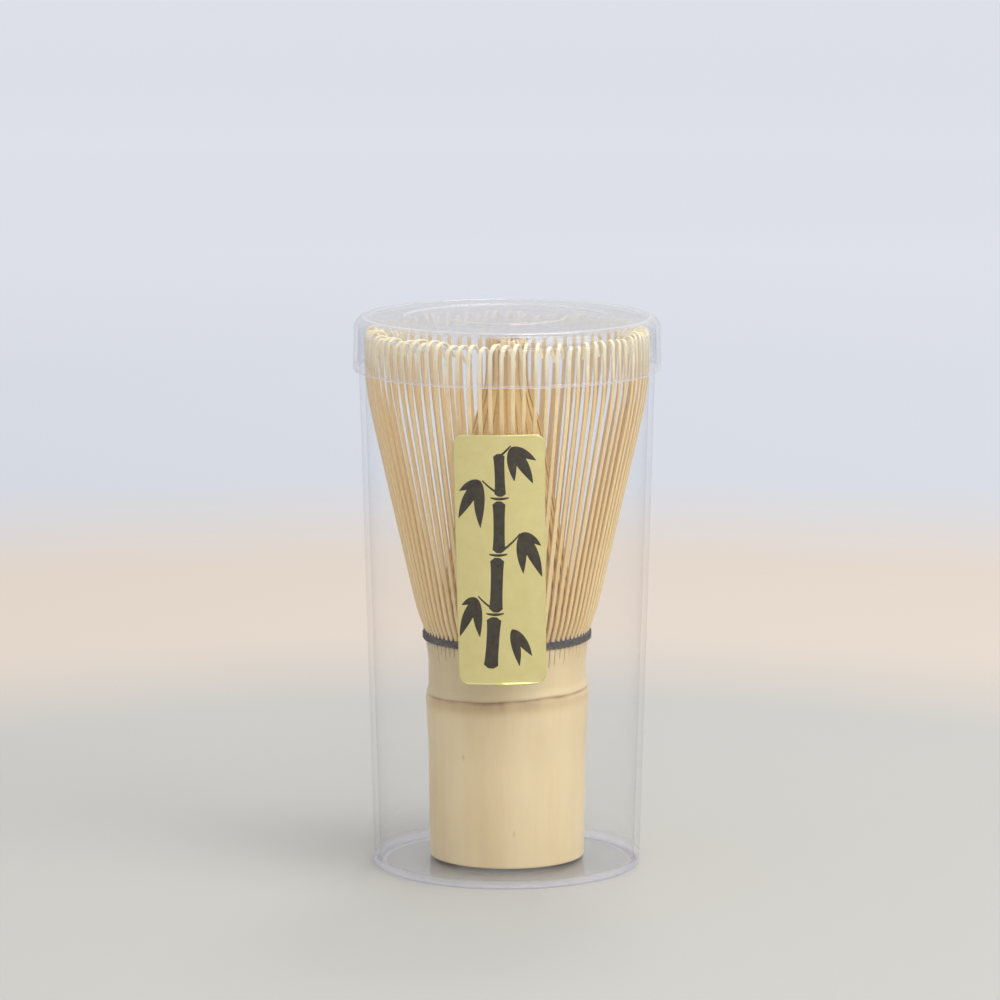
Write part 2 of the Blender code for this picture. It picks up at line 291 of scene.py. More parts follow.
def bamboo_skin():
    """The scraped skin of the handle: pale, fine-fibred, a little waxy, brown along the node."""
    n = Nodes("bamboo_skin")
    along = n.position((1.0, 1.0, 0.03))
    fibres = n.noise(along, 2600.0, 4.0, 0.6)
    streaks = n.noise(along, 420.0, 3.0, 0.5)
    clouds = n.noise(n.position((1.0, 1.0, 0.35)), 75.0, 3.0, 0.5)
    tones = [(0.32, (0.68, 0.52, 0.285)), (0.5, (0.745, 0.59, 0.34)), (0.7, (0.79, 0.645, 0.39))]
    base = n.ramp(clouds, tones)
    base = n.mix(n.spread(streaks, 0.42, 0.72, 0.0, 0.16), base, (0.62, 0.46, 0.25))
    base = n.mix(n.spread(fibres, 0.55, 0.75, 0.0, 0.14), base, (0.54, 0.39, 0.2))

    # The stain of the sheath scar, painted shade greying the collar's dim side, and painted shade in the
    # cuts of the split collar
    patches = n.noise(n.position((1.0, 1.0, 0.6)), 190.0, 3.0, 0.6)
    stain = n.math("MULTIPLY", n.marked("stain"), n.spread(patches, 0.32, 0.64, 0.6, 1.0))
    base = n.mix(stain, base, n.mix(stain, (0.56, 0.33, 0.11), (0.16, 0.085, 0.045)))
    # painted shade: the collar greyer on its side away from the key light
    base = n.mix(n.marked("shade"), base, (0.36, 0.29, 0.17))
    # painted shade: the cuts darkened as deep as their grooves run
    base = n.mix(n.marked("cut_shade"), base, (0.13, 0.075, 0.034))

    # A few small brown flecks
    spots = n.spread(n.cells(n.position((1.0, 1.0, 0.45)), 330.0), 0.13, 0.05)
    rare = n.spread(n.noise(n.position(), 160.0, 1.0), 0.6, 0.68)
    flecks = n.math("MULTIPLY", spots, rare)
    base = n.mix(n.math("MULTIPLY", flecks, 0.45), base, (0.30, 0.17, 0.07))

    height = n.math("ADD", n.math("MULTIPLY", fibres, 0.6), n.math("MULTIPLY", streaks, 0.8))
    n.principled(
        Base_Color=base,
        Roughness=n.spread(streaks, 0.3, 0.7, 0.34, 0.5),
        Normal=n.bump(height, 0.00006, 0.5),
        IOR=1.46,
        Subsurface_Weight=0.06,
        Subsurface_Scale=0.002,
        Coat_Weight=0.12,
        Coat_Roughness=0.25,
        Subsurface_Radius=BAMBOO_GLOW,
    )
    return n.material


def bamboo_end_grain():
    """Bamboo cut across its fibres, on the foot and in the hollow, with dark pores."""
    n = Nodes("bamboo_end_grain")
    place = n.position((1.0, 1.0, 0.05))
    pores = n.cells(place, 1500.0)
    clouds = n.noise(place, 160.0, 3.0)
    base = n.ramp(clouds, [(0.35, (0.56, 0.41, 0.22)), (0.65, (0.69, 0.54, 0.33))])
    base = n.mix(n.spread(pores, 0.32, 0.12, 0.0, 0.75), base, (0.20, 0.105, 0.04))
    n.principled(Base_Color=base, Roughness=0.72, Normal=n.bump(pores, 0.0001, 0.4))
    return n.material


def bamboo_strip(name, light, dark, shade):
    """Pared bamboo: straight fibres along each tine, every tine its own tone, the inner face and one side
    browner, partly the inner face's own tan and partly painted shade, and the tip paler as a painted
    highlight."""
    n = Nodes(name)
    along = n.position((1.0, 1.0, 0.05))
    fibres = n.noise(along, 3400.0, 3.0, 0.6)
    base = n.mix(n.marked("tone"), dark, light)
    base = n.mix(n.spread(fibres, 0.45, 0.75, 0.0, 0.35), base, shade)
    # inner face and one side browner: partly the inner face's own tan, partly painted shade
    base = n.mix(n.math("MULTIPLY", n.marked("inner_tone_and_shade"), 0.5), base, shade)
    # painted highlight: tips paled where light from above catches them
    base = n.mix(n.math("MULTIPLY", n.marked("tip_highlight"), 0.95), base, (0.98, 0.88, 0.61))
    n.principled(
        Base_Color=base,
        Roughness=n.spread(fibres, 0.3, 0.7, 0.42, 0.58),
        Normal=n.bump(fibres, 0.00005, 0.5),
        IOR=1.46,
        Subsurface_Weight=0.08,
        Subsurface_Scale=0.0012,
        Subsurface_Radius=BAMBOO_GLOW,
    )
    return n.material


def cotton():
    """Dark twisted cotton, dull, with a soft fuzz."""
    n = Nodes("cotton_thread")
    fuzz = n.noise(n.position(), 5200.0, 3.0, 0.7)
    base = n.ramp(fuzz, [(0.3, (0.028, 0.03, 0.038)), (0.7, (0.085, 0.088, 0.1))])
    n.principled(
        Base_Color=base,
        Roughness=0.88,
        Sheen_Weight=0.5,
        Sheen_Roughness=0.45,
        Normal=n.bump(fuzz, 0.00006, 0.6),
    )
    return n.material


def gold_foil():
    """Satin olive-gold foil on paper, finely rolled, with faint handling marks."""
    n = Nodes("gold_foil")
    rolled = n.noise(n.position((1.0, 1.0, 22.0)), 260.0, 3.0, 0.5)
    marks = n.noise(n.position(), 330.0, 4.0, 0.6)
    rough = n.spread(rolled, 0.3, 0.7, 0.34, 0.46)
    polish = n.math("MULTIPLY", n.marked("border"), 0.3)
    base = n.ramp(marks, [(0.3, (0.635, 0.56, 0.24)), (0.7, (0.675, 0.605, 0.275))])
    n.principled(
        Base_Color=base,
        Metallic=0.55,
        Roughness=n.math("SUBTRACT", rough, polish),
        Normal=n.bump(marks, 0.00004, 0.25),
        Coat_Weight=0.3,
        Coat_Roughness=0.12,
    )
    return n.material


def ink():
    """Brown-black printing ink, slightly uneven and satin."""
    n = Nodes("ink")
    mottle = n.noise(n.position(), 900.0, 3.0, 0.6)
    base = n.ramp(mottle, [(0.3, (0.022, 0.018, 0.01)), (0.75, (0.05, 0.04, 0.022))])
    n.principled(Base_Color=base, Roughness=n.spread(mottle, 0.3, 0.7, 0.35, 0.5), Coat_Weight=0.2)
    return n.material


def clear_plastic():
    """Thin clear moulded plastic. A wall this thin bends nothing: it mirrors more the flatter it is
    seen, most where it is frosted, and lets the rest straight through. Its edges carry painted light,
    a milky lavender that stands in for the light thick plastic edges bend and reflect; the lid shoulder's
    extra frost is a painted highlight; and its dust shows more the flatter it is seen."""
    n = Nodes("clear_polystyrene")
    ripples = n.noise(n.position((1.0, 1.0, 0.35)), 60.0, 2.0, 0.4)
    scuffs = n.noise(n.position((1.0, 1.0, 0.12)), 1400.0, 4.0, 0.7)
    normal = n.bump(ripples, 0.0004, 0.1)
    facing = n.add("ShaderNodeLayerWeight", {"Blend": 0.5, "Normal": normal}).outputs["Facing"]
    grazing = n.math("POWER", facing, 4.0)
    frost_and_highlight = n.marked("frost_and_highlight")
    painted_edge_light = n.marked("painted_edge_light")

    sheen = n.spread(frost_and_highlight, 0.0, 0.2, 0.38, 0.96)
    mirror = n.math("ADD", n.math("MULTIPLY", n.math("POWER", facing, 5.0), sheen), 0.04)
    tint = n.mix(grazing, (1.0, 1.0, 1.0), (0.996, 0.995, 0.998))
    passing = n.add("ShaderNodeBsdfTransparent", {"Color": tint})
    rough = n.spread(scuffs, 0.5, 0.8, 0.04, 0.16)
    gloss = n.add("ShaderNodeBsdfGlossy", {"Roughness": rough, "Normal": normal})
    clear = n.mix_shaders(mirror, passing.outputs["BSDF"], gloss.outputs["BSDF"])

    # lavender where the edges carry painted light
    milk = n.mix(painted_edge_light, (0.74, 0.75, 0.785), (0.84, 0.83, 0.97))
    scattered = n.add("ShaderNodeBsdfDiffuse", {"Color": milk}).outputs["BSDF"]
    through = n.add("ShaderNodeBsdfTranslucent", {"Color": milk}).outputs["BSDF"]
    milky = n.mix_shaders(0.5, scattered, through)
    dust = n.spread(scuffs, 0.45, 0.8, 0.004, 0.014)
    dust = n.math("MULTIPLY", dust, n.spread(grazing, 0.0, 1.0, 1.0, 4.0))
    # milky share: real dust, painted edge light, and frost, which on the lid's shoulder is a painted
    # highlight
    haze_and_edge_light = n.math("ADD", n.math("ADD", dust, n.math("MULTIPLY", painted_edge_light, 0.5)), frost_and_highlight)
    n.tree.links.new(n.mix_shaders(haze_and_edge_light, clear, milky), n.output.inputs["Surface"])
    n.tree.nodes.remove(n.shader)
    return n.material


# ---------------- case


def cup_radius(height):
    """Outer radius of the cup's wall at a height."""
    return CUP_BASE_RADIUS + CUP_DRAFT * height


def with_edge_light(points, painted_edge_light):
    """The same outline points, with painted edge light at them."""
    return [(radius, height, painted_edge_light) for radius, height in points]


def build_cup(material):
    """Wall, round rim, and a floor with a soft inner corner and a gate mark below."""
    corner = 0.45 * MM
    fillet = 0.5 * MM
    rim = CUP_WALL / 2.0
    rim_bottom = CUP_RIM_HEIGHT - 1.6 * MM
    wall_bottom = 6.0 * MM
    recess = 0.3 * MM
    nub = 1.1 * MM
    frost = 0.08
    inner_floor = cup_radius(CUP_FLOOR) - CUP_WALL
    rim_centre = cup_radius(CUP_RIM_HEIGHT) - rim
    floor_band = CUP_FLOOR + 0.1 * MM
    outline = [(0.0, CUP_FLOOR, 0.0, frost), (inner_floor - 3.0 * fillet, CUP_FLOOR, 0.05, frost)]
    # painted edge light in the floor's inner corner
    outline += with_edge_light(arc(inner_floor - fillet, CUP_FLOOR + fillet, fillet, -90.0, 0.0, 6), 0.15)
    outline.append((cup_radius(3.2 * MM) - CUP_WALL, 3.2 * MM))
    for height in np.linspace(wall_bottom, rim_bottom, 12):
        outline.append((cup_radius(height) - CUP_WALL, height))
    for radius, height in arc(rim_centre, CUP_RIM_HEIGHT - rim, rim, 180.0, 0.0, 12):
        crest = (height - CUP_RIM_HEIGHT + rim) / rim
        # painted highlight along the rim's crest
        outline.append((radius, height, 0.7 * crest ** 4))
    for height in np.linspace(rim_bottom, wall_bottom, 12):
        outline.append((cup_radius(height), height))
    outline.append((cup_radius(1.6 * floor_band), 1.6 * floor_band))
    # painted light in the base's thick edge, milky lavender
    outline.append((cup_radius(floor_band), floor_band, 0.8))
    outline += with_edge_light(arc(cup_radius(corner) - corner, corner, corner, 0.0, -90.0, 6), 1.0)
    outline += [
        (CUP_BASE_RADIUS - 2.4 * MM, 0.0, 0.2),
        (CUP_BASE_RADIUS - 2.7 * MM, recess),
        (nub + 0.3 * MM, recess),
        (nub, 0.12 * MM, 0.3),
        (nub * 0.6, 0.06 * MM, 0.3),
        (0.0, 0.05 * MM),
    ]
    as_piece("clear_cup", lathe("clear_cup", outline), "case", "case_cup", material)


def soft_step(radius, start, end, width):
    """A rounded step in the lid's top, from one height to another, with a line of painted edge light along
    it.
    """
    points = []
    for share in np.linspace(0.0, 1.0, 9):
        height = start + (end - start) * float(smooth(share, 0.0, 1.0))
        # painted edge light along the step
        points.append((radius + width * (share - 0.5), height, 0.3 * sin(pi * share), LID_FROST))
    return points


def flat_ring(inner, outer, height):
    """The two outline points of a flat, frosted part of the lid."""
    return [(inner, height, 0.0, LID_FROST), (outer, height, 0.0, LID_FROST)]


def lid_top(shoulder_radius, round_out):
    """The plate from its middle outwards, with three shallow steps, and the rolled shoulder, whose top is
    whitened with extra frost as a painted highlight.
    """
    top = lid_high.z
    centre = top - 0.15 * MM
    recess = top - 0.45 * MM
    flat = top - 0.12 * MM
    outline = flat_ring(0.0, 11.0 * MM, centre)
    outline += soft_step(11.6 * MM, centre, recess, LID_STEP)
    outline += flat_ring(12.4 * MM, 19.6 * MM, recess)
    outline += soft_step(20.4 * MM, recess, flat, LID_STEP)
    outline += flat_ring(21.2 * MM, 26.6 * MM, flat)
    outline += soft_step(27.2 * MM, flat, top, 0.4 * MM)
    shoulder = arc(shoulder_radius - round_out, top - round_out, round_out, 90.0, 0.0, 16)
    for share, point in enumerate(shoulder):
        # painted highlight: extra frost whitens the shoulder's top, fading down it
        frost_and_highlight = np.interp(share, (0, 2, 6, 16), (LID_FROST, 0.5, 0.12, LID_VEIL))
        outline.append((*point, 0.06, frost_and_highlight))
    return outline


def build_lid(material):
    """Top plate, rolled shoulder, and a skirt with a thin bead at its edge, the bead lit with painted
    edge light. The plate is slightly frosted, the shoulder's top more as a painted highlight, and the
    skirt has a faint veil."""
    top = lid_high.z
    bottom = lid_low.z - 0.6 * MM
    skirt = lid_high.x - 0.06 * MM
    shoulder_radius = 30.3 * MM
    round_out = 2.4 * MM
    wall = 0.8 * MM
    underside = top - 1.1 * MM
    inner = shoulder_radius - wall
    round_in = round_out - wall
    bead = 0.36 * MM
    outline = lid_top(shoulder_radius, round_out)
    outline.append((shoulder_radius + 0.05 * MM, top - 4.5 * MM, 0.0, LID_VEIL))
    outline.append((skirt - 0.04 * MM, bottom + 1.5 * MM, 0.0, LID_VEIL))
    for radius, height in arc(skirt - bead, bottom + bead, bead, 40.0, -90.0, 10):
        # painted edge light along the skirt's bead, brightest at its foot
        outline.append((radius, height, 0.95 - 0.85 * (height - bottom) / (2.0 * bead)))
    outline += [
        (skirt - wall + 0.1 * MM, bottom, 0.5),
        (skirt - wall, bottom + 0.1 * MM, 0.2),
        (skirt - wall - 0.02 * MM, bottom + 0.6 * MM, 0.0, LID_VEIL),
        (inner + 0.02 * MM, top - 5.0 * MM, 0.0, LID_VEIL),
    ]
    outline += arc(inner - round_in, underside - round_in, round_in, 0.0, 90.0, 10)
    outline += flat_ring(inner - round_in - LID_STEP, 21.0 * MM, underside)
    outline += flat_ring(20.3 * MM, 0.0, underside - 0.1 * MM)
    as_piece("clear_lid", lathe("clear_lid", outline), "lid", "case_lid", material)


# ---------------- label


LABEL_WIDTH = 17.6 * MM
LABEL_HEIGHT = label_high.z - label_low.z
LABEL_MIDDLE = (label_high.z + label_low.z) / 2.0
LABEL_CORNER = 2.0 * MM
LABEL_TILT = radians(0.9)  # stuck on by hand, leaning left at its top
LABEL_THICKNESS = 0.17 * MM
LABEL_BEVEL = 0.13 * MM
LABEL_GLUE_GAP = 0.04 * MM
LABEL_CURL = 0.17 * MM
INK_HEIGHT = 0.03 * MM
STROKE_STEPS = 16
# The middle of the azimuths of the label's CAD points
label_points = np.array([v.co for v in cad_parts["foil_label"].data.vertices])
label_azimuths = np.arctan2(label_points[:, 1], label_points[:, 0])
LABEL_AZIMUTH = (label_azimuths.min() + label_azimuths.max()) / 2.0


def on_label(across, up, lift):
    """A point on the label: across to the right and up from its middle, lift off the cup."""
    height = LABEL_MIDDLE + up * cos(LABEL_TILT) + across * sin(LABEL_TILT)
    radius = cup_radius(height) + LABEL_GLUE_GAP + lift
    round_cup = across * cos(LABEL_TILT) - up * sin(LABEL_TILT)
    angle = LABEL_AZIMUTH + round_cup / cup_radius(LABEL_MIDDLE)
    return (radius * cos(angle), radius * sin(angle), height)


def label_lift(across, up):
    """Height of the label's face off its glue: low at the bevelled border, curling up at the foot."""
    past_x = abs(across) - (LABEL_WIDTH / 2.0 - LABEL_CORNER)
    past_y = abs(up) - (LABEL_HEIGHT / 2.0 - LABEL_CORNER)
    inside = LABEL_CORNER - hypot(max(past_x, 0.0), max(past_y, 0.0)) - min(max(past_x, past_y), 0.0)
    full = 0.35 + 0.65 * float(smooth(inside, 0.0, LABEL_BEVEL))
    from_bottom = LABEL_HEIGHT / 2.0 + up
    curl = 1.0 - float(smooth(from_bottom, 0.12 * MM, 0.55 * MM))
    return LABEL_THICKNESS * full + LABEL_CURL * curl


def label_columns():
    """(across, half height) of each column of the label's points, close together at both sides."""
    half_w, half_h = LABEL_WIDTH / 2.0, LABEL_HEIGHT / 2.0
    corner = []
    for inset in np.array([0.0, 0.04, 0.08, 0.13, 0.26, 0.5, 0.9, 1.4]) * MM:
        reach = LABEL_CORNER - inset
        corner.append((half_w - inset, half_h - LABEL_CORNER + sqrt(LABEL_CORNER ** 2 - reach ** 2)))
    middle = [(x, half_h) for x in np.linspace(half_w - LABEL_CORNER, LABEL_CORNER - half_w, 28)]
    return corner + middle + [(-x, y) for x, y in reversed(corner)]


def label_rows(half_height):
    """Heights of one column of the label's points, close together at its two ends."""
    low = np.array([0.0, 0.05, 0.1, 0.16, 0.24, 0.32, 0.4, 0.48, 0.6]) * MM - half_height
    middle = np.linspace(low[-1], -low[-1], 20)[1:-1]
    return np.concatenate([low, middle, -low[::-1]])


def sheet_faces(columns, rows):
    """Faces of a thin closed sheet: back and front, columns by rows points each, and the wall between."""
    front = columns * rows
    faces = []
    for column in range(columns - 1):
        for row in range(rows - 1):
            a = column * rows + row
            b = a + rows
            faces.append((a, b, b + 1, a + 1))
            faces.append((front + a, front + a + 1, front + b + 1, front + b))
    border = [column * rows for column in range(columns)]
    border += [(columns - 1) * rows + row for row in range(1, rows)]
    border += [column * rows + rows - 1 for column in reversed(range(columns - 1))]
    border += list(reversed(range(1, rows - 1)))
    for one, other in zip(border, border[1:] + border[:1]):
        faces.append((one, front + one, front + other, other))
    return faces


def build_label(foil, ink_material):
    """A thin sheet with round corners and a bevelled border, and the ink that stands on it."""
    columns = [(x, label_rows(half_height)) for x, half_height in label_columns()]
    back = [on_label(x, up, 0.0) for x, rows in columns for up in rows]
    front = [on_label(x, up, label_lift(x, up)) for x, rows in columns for up in rows]
    count = len(columns)
    rows = len(columns[0][1])
    mesh = mesh_of("gold_label", back + front, sheet_faces(count, rows))
    # The outermost rows and columns, more of them at the curled lower edge
    on_border = [
        row < 8 or row > rows - 4 or not 3 < column < count - 4
        for column in range(count)
        for row in range(rows)
    ]
    mark_points(mesh, "border", on_border + on_border)
    as_piece("gold_label", mesh, "case", "foil_label", foil)
    build_ink(ink_material)


def stroke(points, faces, line, widths):
    """One ink stroke: a low ridge along a line of (across, up) points, as wide as widths."""
    line = np.array(line, float)
    ahead = np.gradient(line, axis=0)
    ahead /= np.linalg.norm(ahead, axis=1)[:, None] + TINY
    side = np.stack([-ahead[:, 1], ahead[:, 0]], axis=1)
    first = len(points)
    low = LABEL_THICKNESS + 0.004 * MM
    high = LABEL_THICKNESS + INK_HEIGHT
    for centre, away, width in zip(line, side, widths):
        half = max(width / 2.0, 0.05 * MM)
        for share, lift in ((-1.0, low), (-0.82, high), (0.0, high), (0.82, high), (1.0, low)):
            x, y = centre + away * half * share
            points.append(on_label(x, y, lift))
    faces.extend(tube_faces(len(line), 5, first))


def bent_line(start, heading, length, turn):
    """A line on the label, turning evenly, in millimetres and degrees."""
    line = [np.array(start, float) * MM]
    for step in range(STROKE_STEPS):
        angle = radians(heading + turn * (step + 0.5) / STROKE_STEPS)
        line.append(line[-1] + np.array([cos(angle), sin(angle)]) * length * MM / STROKE_STEPS)
    return line


def add_stalk(points, faces, share):
    """Four lengths of stalk, wider at their ends, with a joint mark in each gap between two."""
    # Start, heading, length and width of each length
    stalk = (
        ((-2.3, -21.3), 84.0, 10.2, 2.5),
        ((-1.1, -10.2), 86.5, 10.8, 2.35),
        ((-0.3, 1.5), 88.0, 10.2, 2.15),
        ((0.15, 12.6), 90.0, 8.4, 1.9),
    )
    pinch = 1.0 + 0.22 * np.abs(2.0 * share - 1.0) ** 3
    ends = np.clip(np.minimum(share, 1.0 - share) * 16.0, 0.35, 1.0)
    for start, heading, length, width in stalk:
        stroke(points, faces, bent_line(start, heading, length, 2.0), width * MM * pinch * ends)
    for x, y in ((-1.25, -10.65), (-0.4, 1.05), (0.05, 12.15)):
        mark = bent_line((x - 1.75, y + 0.22), -14.0, 3.5, 28.0)
        stroke(points, faces, mark, 0.55 * MM * (0.45 + 0.55 * np.sin(pi * share)))


def add_twigs(points, faces, share):
    """Four twigs, thinning to their ends."""
    for start, heading, length, turn in (
        ((-0.9, -9.9), 152.0, 4.6, -22.0),
        ((0.2, 1.9), 34.0, 5.0, 18.0),
        ((0.2, 13.0), 150.0, 4.4, -18.0),
        ((0.3, 20.6), 40.0, 2.8, 10.0),
    ):
        twig = bent_line(start, heading, length, turn)
        stroke(points, faces, twig, 0.5 * MM * (1.0 - 0.45 * share))


def add_leaves(points, faces, share):
    """Leaves in clusters, each leaf widest near its root and pointed at both ends."""
    # Start of each cluster, then heading, length, turn and width of each of its leaves
    clusters = (
        ((-4.7, -7.5), ((238.0, 8.4, 12.0, 2.1), (268.0, 7.6, 10.0, 1.9), (196.0, 3.4, 14.0, 1.3))),
        ((4.1, 5.4), ((300.0, 9.6, -12.0, 2.3), (332.0, 4.6, -14.0, 1.5), (268.0, 8.0, 8.0, 2.0))),
        ((-3.6, 15.7), ((232.0, 8.6, 14.0, 2.2), (264.0, 9.2, 10.0, 2.1), (200.0, 4.6, 12.0, 1.6))),
        ((2.3, 22.2), ((306.0, 8.2, -12.0, 2.2), (336.0, 5.4, -10.0, 1.7), (272.0, 6.6, 6.0, 1.8))),
        ((2.0, -13.6), ((312.0, 6.6, -12.0, 1.9), (284.0, 7.4, -6.0, 1.8))),
    )
    blade = np.sin(pi * share ** 0.75) ** 0.8
    for start, leaves in clusters:
        for heading, length, turn, width in leaves:
            stroke(points, faces, bent_line(start, heading, length, turn), width * MM * blade)


def build_ink(material):
    """A stalk of bamboo with twigs and clusters of leaves, as a brush would leave them."""
    share = np.linspace(0.0, 1.0, STROKE_STEPS + 1)
    points, faces = [], []
    add_stalk(points, faces, share)
    add_twigs(points, faces, share)
    add_leaves(points, faces, share)
    mesh = mesh_of("label_ink", points, faces)
    as_piece("label_ink", mesh, "case", "foil_label", material)


# ---------------- handle


NODE_MIDDLE = 34.8 * MM
NODE_SLANT = 0.8 * MM
NODE_SLANT_DIRECTION = radians(-20.0)
STAIN_DIRECTION = radians(-112.0)  # where the node's stain is darkest
# painted shade: the collar is painted greyer towards this side, away from the key light
SHADED_COLLAR_DIRECTION = radians(-165.0)  # where the collar is greyest
GROOVE_HALF_ANGLE = radians(0.34)
GROOVE_DEPTH = 0.42 * MM
HANDLE_FOOT = handle_low.z
FOOT_RADIUS = 15.42 * MM
FOOT_EDGE = 0.3 * MM
BORE_RADIUS = 11.2 * MM
ROOT_CAVITY_RADIUS = 13.1 * MM
DIAPHRAGM_HALF = 1.2 * MM
POLE_RADIUS = 0.02 * MM  # a ring this small is closed with one flat face


def handle_radius(height, node):
    """Outer radius of the bamboo at a height, where node is the height of its node line there."""
    below = node - height
    radius = FOOT_RADIUS + 0.18 * MM * smooth(height, 2.0 * MM, 18.0 * MM)
    radius += 0.5 * MM * smooth(height, 20.0 * MM, 33.6 * MM)
    radius += 0.12 * MM * np.exp(-((below - 0.9 * MM) / (0.9 * MM)) ** 2)
    radius -= 0.46 * MM * smooth(-below, 0.05 * MM, 2.2 * MM)
    radius -= 0.22 * MM * np.exp(-((below + 0.12 * MM) / (0.3 * MM)) ** 2)
    radius += 0.48 * MM * smooth(height, 40.5 * MM, COLLAR_TOP)
    return radius


class Rings:
    """Rings of points about Z, one after another, with the numbers that their material reads."""

    def __init__(self, angles):
        self.angles = angles
        self.points = []
        self.marks = {"stain": [], "cut_shade": [], "shade": []}

    def add(self, radius, height, stain=0.0, cut_shade=0.0, shade=0.0):
        """One ring. Each value is a number, or an array with a number for each angle."""
        shape = self.angles.shape
        self.points.append(about_z(radius, self.angles, np.broadcast_to(height, shape)))
        for name, value in zip(self.marks, (stain, cut_shade, shade)):
            self.marks[name].append(np.broadcast_to(value, shape))


def handle_columns():
    """Each column's angle, whether it lies in a cut, and how long the cut is there. A cut runs down from
    between two tines and has three narrow columns."""
    pitch = tau / OUTER_TINES
    offsets = [-GROOVE_HALF_ANGLE, 0.0, GROOVE_HALF_ANGLE, pitch * 0.26, pitch * 0.5, pitch * 0.74]
    angles = np.array([pitch * tine + offset for tine in range(OUTER_TINES) for offset in offsets])
    on_cut = np.array([offset == 0.0 for _ in range(OUTER_TINES) for offset in offsets])
    chance = np.random.RandomState(7)
    cut_length = (2.1 + 2.3 * chance.uniform(0.0, 1.0, OUTER_TINES) ** 2.5) * MM
    return angles, on_cut, np.repeat(cut_length, len(offsets))


def add_upper_hollow(rings):
    """From the middle of the diaphragm outwards, up the bore, and to the collar's top."""
    floor = NODE_MIDDLE + DIAPHRAGM_HALF
    rings.add(POLE_RADIUS, floor)
    rings.add(5.0 * MM, floor)
    rings.add(9.6 * MM, floor + 0.3 * MM)
    rings.add(BORE_RADIUS, floor + 1.6 * MM)
    rings.add(BORE_RADIUS, 41.0 * MM)
    rings.add(ROOT_CAVITY_RADIUS - 0.6 * MM, 43.2 * MM)
    rings.add(ROOT_CAVITY_RADIUS, 44.2 * MM)
    rings.add(ROOT_CAVITY_RADIUS, COLLAR_TOP - 0.15 * MM)
    rings.add(ROOT_CAVITY_RADIUS + 0.15 * MM, COLLAR_TOP)


def skin_heights():
    """Heights of the skin's rings, close together at the cuts and at the node."""
    cuts = np.arange(45.25, 40.9, -0.18)
    collar = np.arange(40.6, 36.6, -0.5)
    node = np.arange(36.4, 31.6, -0.14)
    grip = np.arange(31.0, 3.0, -1.4)
    return np.concatenate([cuts, collar, node, grip, [2.4, 1.95]]) * MM


def add_skin(rings, on_cut, cut_length):
    """From the collar's top down to the foot, slightly oval, with the cuts and the painted shade in them,
    the wavy node line, its stain, and painted shade greying the collar's dim side."""
    angles = rings.angles
    node = NODE_MIDDLE + NODE_SLANT * np.cos(angles - NODE_SLANT_DIRECTION)
    node += 0.06 * MM * np.sin(5.0 * angles + 1.0) + 0.04 * MM * np.sin(11.0 * angles)
    oval = 1.0 + 0.0025 * np.cos(2.0 * angles + 0.7) + 0.0012 * np.cos(3.0 * angles)
    stained_side = 0.5 + 0.5 * np.cos(angles - STAIN_DIRECTION)
    shaded_side = (0.5 + 0.5 * np.cos(angles - SHADED_COLLAR_DIRECTION)) ** 1.5
    cut_end = COLLAR_TOP - cut_length
    for height in skin_heights():
        depth = np.where(on_cut, smooth(height, cut_end, cut_end + 1.6 * MM), 0.0)
        radius = handle_radius(height, node) * oval - GROOVE_DEPTH * depth
        below = node - height
        line = np.exp(-((below + 0.1 * MM) / (0.29 * MM)) ** 2)
        scar = 0.65 * smooth(below, 0.0, 0.3 * MM) * (1.0 - smooth(below, 0.5 * MM, 3.8 * MM))
        stain = line * (0.6 + 0.4 * stained_side) + scar * stained_side ** 1.5
        # painted shade greying the collar's dim side
        painted_collar_shade = 0.42 * smooth(-below, -0.2 * MM, 0.6 * MM) * shaded_side
        rings.add(radius, height, np.clip(stain, 0.0, 1.0), depth ** 0.5, painted_collar_shade)
    foot_radius = handle_radius(HANDLE_FOOT, node) * oval
    rings.add(foot_radius, HANDLE_FOOT + FOOT_EDGE)
    rings.add(foot_radius - 0.3 * FOOT_EDGE, HANDLE_FOOT + 0.3 * FOOT_EDGE)
    rings.add(foot_radius - FOOT_EDGE, HANDLE_FOOT)


def add_lower_hollow(rings):
    """From the foot's edge inwards, up the hollow, and in to the middle of the diaphragm."""
    ceiling = NODE_MIDDLE - DIAPHRAGM_HALF
    rings.add(13.2 * MM, HANDLE_FOOT)
    rings.add(BORE_RADIUS + 0.25 * MM, HANDLE_FOOT)
    rings.add(BORE_RADIUS, HANDLE_FOOT + 0.25 * MM)
    rings.add(BORE_RADIUS - 0.2 * MM, 16.0 * MM)
    rings.add(BORE_RADIUS - 0.3 * MM, ceiling - 2.0 * MM)
    rings.add(9.4 * MM, ceiling - 0.3 * MM)
    rings.add(5.0 * MM, ceiling)
    rings.add(POLE_RADIUS, ceiling)


def build_handle(skin, end_grain):
    """One sheet of quads from the middle of the diaphragm, over the collar, down the skin, round the
    foot and up the hollow. The hollow and the foot's cut are end grain, the rest is skin."""
    angles, on_cut, cut_length = handle_columns()
    rings = Rings(angles)
    add_upper_hollow(rings)
    skin_start = len(rings.points) - 1
    add_skin(rings, on_cut, cut_length)
    skin_end = len(rings.points) - 1
    add_lower_hollow(rings)
    faces = tube_faces(len(rings.points), len(angles), 0)
    mesh = mesh_of("bamboo_handle", np.concatenate(rings.points), faces)
    for name, values in rings.marks.items():
        mark_points(mesh, name, np.concatenate(values))
    as_piece("bamboo_handle", mesh, "whisk", "handle", skin)
    mesh.materials.append(end_grain)
    row_of_face = np.arange(len(faces)) // len(angles)
    grained = (row_of_face < skin_start) | (row_of_face >= skin_end)
    mesh.polygons.foreach_set("material_index", grained.astype(np.int32))
    mesh.update()


# ---------------- tines


